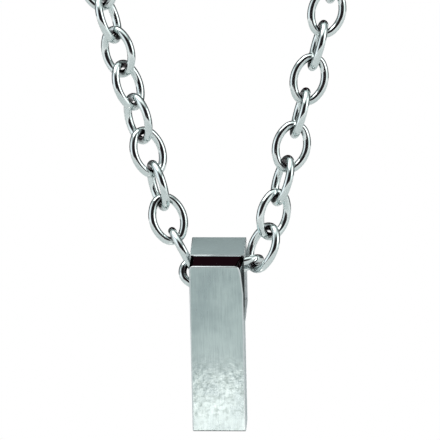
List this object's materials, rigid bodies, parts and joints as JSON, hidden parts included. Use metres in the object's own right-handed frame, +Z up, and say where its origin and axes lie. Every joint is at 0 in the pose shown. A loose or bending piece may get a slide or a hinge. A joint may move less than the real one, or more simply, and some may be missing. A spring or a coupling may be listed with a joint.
{
  "type": "initial pendant necklace",
  "caption": "Plain upright bar pendant with a box bail, hanging free on a closed cable-link chain with a plain clasp at the nape.",
  "frame": {"origin": "the nape of the worn necklace, at the middle of the clasp's run across the back of the neck", "axes": "+Z up; the pendant's face looks along -Y; +X is to the right as the picture shows it"},
  "size_m": [0.109, 0.1061, 0.2065],
  "materials": {
    "pendant_steel": "face and bail brushed lengthways, top, sides and ends mirror polished",
    "chain_steel": "polished stainless steel wire, bright with dark reflections",
    "clasp_steel": "polished stainless steel"
  },
  "bodies": {
    "necklace": {"chain_left": "chain_steel", "chain_right": "chain_steel", "clasp": "clasp_steel", "clasp_ring": "clasp_steel"},
    "pendant": {"initial_pendant": "pendant_steel"}
  },
  "joints": [
    {"name": "pendant_swing", "type": "hinge", "parent": "necklace", "child": "pendant", "pos_m": [0, -0.09973, -0.19196], "axis": [1, 0, 0], "range_deg": [-10, 10]}
  ]
}
